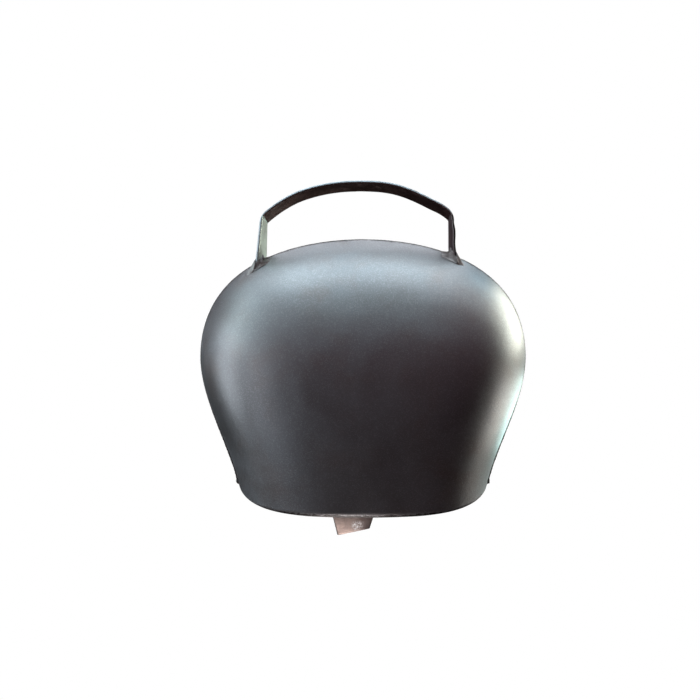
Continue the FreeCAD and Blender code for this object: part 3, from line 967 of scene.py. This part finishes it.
def buildClapper():
    centre, low, high = middle("clapper_eye")
    thick = high.y - low.y
    radius = (high.x - low.x - thick) / 2
    eye = [Vector((centre.x + radius * c, 0, centre.z + radius * s)) for c, s in circle(90)]
    roundBar("clapperEye", eye, thick / 2, True, 12, "clapper", "hanging_steel", hangingSteel, "clapper_eye",
             wobble=0.04)
    centre, shankLow, shankHigh = middle("clapper_shank")
    start, end = Vector((centre.x, 0, shankLow.z)), Vector((centre.x, 0, low.z + thick / 2))
    radius = (shankHigh.x - shankLow.x) / 2
    roundBar("clapperShank", [start.lerp(end, k / 50) for k in range(51)], radius, False, 15, "clapper",
             "hanging_steel", hangingSteel, "clapper_shank")
    radius += collarWeld["out"]
    collar("eyeWeld", middle("eye_weld")[0], radius, 5 * mm, 1.8 * mm, 21, "eye_weld")
    centre, low, high = middle("striker_weld")
    centre.z = low.z + 0.8 * mm
    collar("strikerWeld", centre, radius, 4 * mm, 2.2 * mm, 25, "striker_weld")


striker = {
    "strikeHeight": 36 * mm, "width": 40 * mm, "thick": 18 * mm, "waist": 15 * mm, "tailWidth": 23.6 * mm,
    "tailThick": 11 * mm, "tailShift": 0.6 * mm, "lift": 0.3 * mm, "slant": 4.6 * mm, "corner": 0.22,
    "step": 1.0 * mm, "tip": (0.93, 0.98), "facet": 0.14 * mm, "facetSize": 9 * mm,
    "pits": 0.26 * mm, "pitSize": 9 * mm, "finePits": 0.14 * mm, "finePitSize": 2.6 * mm,
    "arris": 2 * mm, "glintX": 2.5 * mm, "glintHeight": 5 * mm, "glintSize": 5 * mm,
}


def strikerSection(h, length):
    # width and thickness at height h above the tip
    s = striker
    if h <= s["strikeHeight"]:
        share = h / s["strikeHeight"]
        narrow, thin = s["tailWidth"], s["tailThick"]
    else:
        narrow = thin = s["waist"]
        share = (1 + math.cos(math.pi * (h - s["strikeHeight"]) / (length - s["strikeHeight"]))) / 2
    return narrow + (s["width"] - narrow) * share, thin + (s["thick"] - thin) * share


def roundedSection(width, thick, corner, perSide=12, perCorner=5):
    a, b, r = width / 2, thick / 2, min(width, thick) * corner
    points = []
    for signX, signY in ((1, 1), (-1, 1), (-1, -1), (1, -1)):
        for k in range(perCorner):
            turn = math.pi / 2 * k / (perCorner - 1)
            c, s = math.cos(turn), math.sin(turn)
            if signX * signY < 0:
                c, s = s, c
            points.append((signX * (a - r + r * c), signY * (b - r + r * s)))
    made = []
    for (x0, y0), (x1, y1) in zip(points, points[1:] + points[:1]):
        pieces = perSide if math.hypot(x1 - x0, y1 - y0) > r * 0.8 else 1
        made += [(x0 + (x1 - x0) * k / pieces, y0 + (y1 - y0) * k / pieces) for k in range(pieces)]
    return made


def buildStriker():
    s = striker
    low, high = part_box("striker")
    midX = middle("clapper_shank")[0].x
    length = high.z - low.z
    count = int(length / s["step"])
    foot = low.z + s["lift"]
    rings = []
    marks = {"edge": [], "litPatch": [], "paintedGlint": [], "shadedEdge": []}
    for i in range(-2, count + 1):
        h = (length - s["lift"]) * max(i, 0) / count
        shrink = s["tip"][i + 2] if i < 0 else 1.0  # the tip's arris is broken
        width, thick = strikerSection(h, length - s["lift"])
        corner = s["corner"] * (0.45 + 0.55 * min(1, h / s["strikeHeight"]))
        shift = s["tailShift"] * max(0, 1 - h / s["strikeHeight"])
        ring = []
        for x, y in roundedSection(width, thick, corner):
            cut = s["slant"] * (x / width + 0.5)  # the tail is sheared off on a slant
            lifted = cut * max(0, 1 - h / (3 * s["slant"]))
            z = foot + lifted + h - (s["lift"] if i == -2 else 0)
            p = Vector((midX + shift + x * shrink, y * shrink, z))
            way = Vector((x / width, y / thick, 0)).normalized()
            sink = noise.cell(p / s["facetSize"] + Vector((3, 1, 2))) * s["facet"]
            sink += s["pits"] * (1 + bumpy(p, s["pitSize"], 17, 3)) / 2
            sink += s["finePits"] * (1 + bumpy(p, s["finePitSize"], 5, 4)) / 2
            ring.append(p - way * sink)
            fromSide, fromFace = width / 2 - abs(x), thick / 2 - abs(y)
            nearCorner = max(0, 1 - fromSide / s["arris"]) * max(0, 1 - fromFace / s["arris"])
            band = hump((h - s["strikeHeight"]) / (9 * mm))  # rubbed where it strikes the shells
            marks["edge"].append(min(1, (0.8 * nearCorner + 0.5 * band) * min(1, h / (26 * mm))))
            # painted light: pale towards the tail's lower left, fading upwards and to the right
            fade = max(0, 1 - h / (17 * mm)) * between(0.55 - 1.5 * x / width)
            marks["litPatch"].append(min(1, 1.35 * fade))
            # painted highlight: white glints in a small spot on the front face
            away = Vector((x - s["glintX"], h - s["glintHeight"])).length / s["glintSize"]
            marks["paintedGlint"].append(min(1, 1.6 * max(0, 1 - away)) * (y < 0))
            # painted shade on the tail's sides
            side = max(0, 1 - fromSide / (1.3 * mm))
            marks["shadedEdge"].append(min(1, 1.8 * side) * max(0, 1 - h / (30 * mm)))
        rings.append(ring)
    piece = loftRings("striker", rings)
    for name, ends in (("edge", [0.3, 0.2]), ("litPatch", [0.5, 0]), ("paintedGlint", [0, 0]), ("shadedEdge", [0, 0])):
        setAttribute(piece, name, marks[name] + ends)
    outward(piece)
    place(piece, "clapper", "forged_iron", forgedIron, "striker")


buildStaple()
buildLink()
buildClapper()
buildStriker()
print("clapper hung")


studio = {"floorDrop": 0.62, "floorRadius": 1.6, "paleLow": (0.90, 0.90, 0.90, 1),
          "paleHigh": (0.95, 0.95, 0.95, 1), "bounce": (0.05, 0.038, 0.034, 1)}


def buildFloor():
    bpy.ops.mesh.primitive_circle_add(vertices=96, radius=studio["floorRadius"], fill_type="NGON",
                                      location=(0, 0, cadLow.z - studio["floorDrop"]))
    floor = bpy.context.object
    floor.name = "floor"
    material, tree, shader = newMaterial("paleFloor")
    shader.inputs["Roughness"].default_value = 0.9
    shader.inputs["Specular IOR Level"].default_value = 0.1
    cloud = rangeNode(tree, noiseNode(tree, objectPlace(tree), 3.0, 4.0), 0.2, 0.8)
    tree.links.new(mixColour(tree, cloud, studio["paleLow"], studio["paleHigh"]), shader.inputs["Base Color"])
    seen = addNode(tree, "ShaderNodeLightPath").outputs["Is Camera Ray"]
    white = addNode(tree, "ShaderNodeEmission", None, Color=(1, 1, 1, 1), Strength=1.0)
    dim = addNode(tree, "ShaderNodeBsdfDiffuse", None, Color=studio["bounce"])  # keeps the underside dark
    mix = addNode(tree, "ShaderNodeMixShader", None, _0=seen, _1=dim.outputs[0], _2=white.outputs[0])
    tree.links.new(mix.outputs[0], tree.nodes["Material Output"].inputs["Surface"])
    floor.data.materials.append(material)


lamps = {  # spot, size, power, colour
    "topSoftbox": ((0.0, 0.05, 0.85), (1.0, 0.5), 12.2, (0.72, 0.93, 1.0)),
    "topBack": ((0.0, 0.55, 0.65), (1.0, 0.4), 5.2, (0.85, 0.94, 1.0)),
    "topFront": ((0.0, -0.45, 0.7), (1.0, 0.4), 1.7, (0.60, 0.99, 1.0)),
    "topLeft": ((-0.55, 0.1, 0.6), (0.5, 0.5), 2.2, (0.71, 0.95, 1.0)),
    "topRight": ((0.55, 0.1, 0.6), (0.5, 0.5), 1.45, (1.0, 0.99, 0.90)),
    "leftWindow": ((-0.85, 0.0, -0.05), (0.45, 0.6), 3.6, (0.82, 0.94, 1.0)),
    "leftHigh": ((-0.7, -0.1, 0.3), (0.5, 0.4), 2.3, (0.73, 0.99, 1.0)),
    "leftFront": ((-0.65, -0.5, -0.05), (0.4, 0.6), 1.6, (0.83, 0.93, 1.0)),
    "rightEdge": ((0.68, 0.38, 0.12), (0.3, 0.4), 4.6, (0.94, 1.0, 0.87)),
    "rightHigh": ((0.6, 0.34, 0.5), (0.3, 0.3), 0.9, (0.35, 0.79, 1.0)),
    "rightLow": ((0.75, 0.3, -0.3), (0.4, 0.16), 2.0, (1.0, 0.99, 0.89)),
    "rightBackLow": ((0.5, 0.6, -0.28), (0.3, 0.16), 1.3, (0.68, 1.0, 0.95)),
    "tailFill": ((-0.03, -0.10, -0.42), (0.1, 0.08), 0.4, (1.0, 0.92, 0.88)),
}


def buildLights():
    heart = Vector((bell["midX"], 0, bell["mouthZ"] + bell["height"] * 0.55))
    for name, (spot, size, power, colour) in lamps.items():
        data = bpy.data.lights.new(name, "AREA")
        data.shape = "RECTANGLE"
        data.size, data.size_y = size
        data.energy = power
        data.color = colour
        lamp = bpy.data.objects.new(name, data)
        bpy.context.scene.collection.objects.link(lamp)
        lamp.location = spot
        lamp.rotation_mode = "QUATERNION"
        lamp.rotation_quaternion = (heart - Vector(spot)).to_track_quat("-Z", "Y")
        lamp.visible_camera = False


room = {"low": (0.0, 0.0, 0.0, 1), "high": (0.32, 0.12, 0.15, 1), "behind": (0.0, 0.0, 0.0, 1),
        "behindShare": 0.5}


def buildWorld():
    world = bpy.data.worlds.new("studio")
    bpy.context.scene.world = world
    world.use_nodes = True
    tree = world.node_tree
    tree.nodes.clear()
    way = addNode(tree, "ShaderNodeTexCoord").outputs["Generated"]
    parts = addNode(tree, "ShaderNodeSeparateXYZ", None, Vector=way).outputs
    walls = mixColour(tree, rangeNode(tree, parts[2], -0.25, 1.0), room["low"], room["high"])
    behind = times(tree, rangeNode(tree, parts[1], -0.1, 0.9), room["behindShare"])
    walls = mixColour(tree, behind, walls, room["behind"])
    seen = addNode(tree, "ShaderNodeLightPath").outputs["Is Camera Ray"]
    colour = mixColour(tree, seen, walls, (1.0, 1.0, 1.0, 1))
    shade = addNode(tree, "ShaderNodeBackground", None, Color=colour, Strength=1.0)
    out = addNode(tree, "ShaderNodeOutputWorld")
    tree.links.new(shade.outputs[0], out.inputs[0])


lens = {"away": 375 * mm, "height": 91.4 * mm, "focalPixels": 521, "frame": 700, "axisX": 363, "axisY": 357,
        "sensor": 36}


def buildCamera():
    data = bpy.data.cameras.new("camera")
    camera = bpy.data.objects.new("camera", data)
    bpy.context.scene.collection.objects.link(camera)
    data.sensor_width = lens["sensor"]
    data.lens = lens["sensor"] * lens["focalPixels"] / lens["frame"]
    data.shift_x = -(lens["axisX"] - lens["frame"] / 2) / lens["frame"]
    data.shift_y = (lens["axisY"] - lens["frame"] / 2) / lens["frame"]
    data.clip_start = 0.01
    camera.location = (bell["midX"], -lens["away"], bell["mouthZ"] + lens["height"])
    camera.rotation_euler = (math.pi / 2, 0, 0)
    bpy.context.scene.camera = camera


buildFloor()
buildLights()
buildWorld()
buildCamera()
bpy.context.scene.view_settings.view_transform = "Standard"
print("lit and framed")
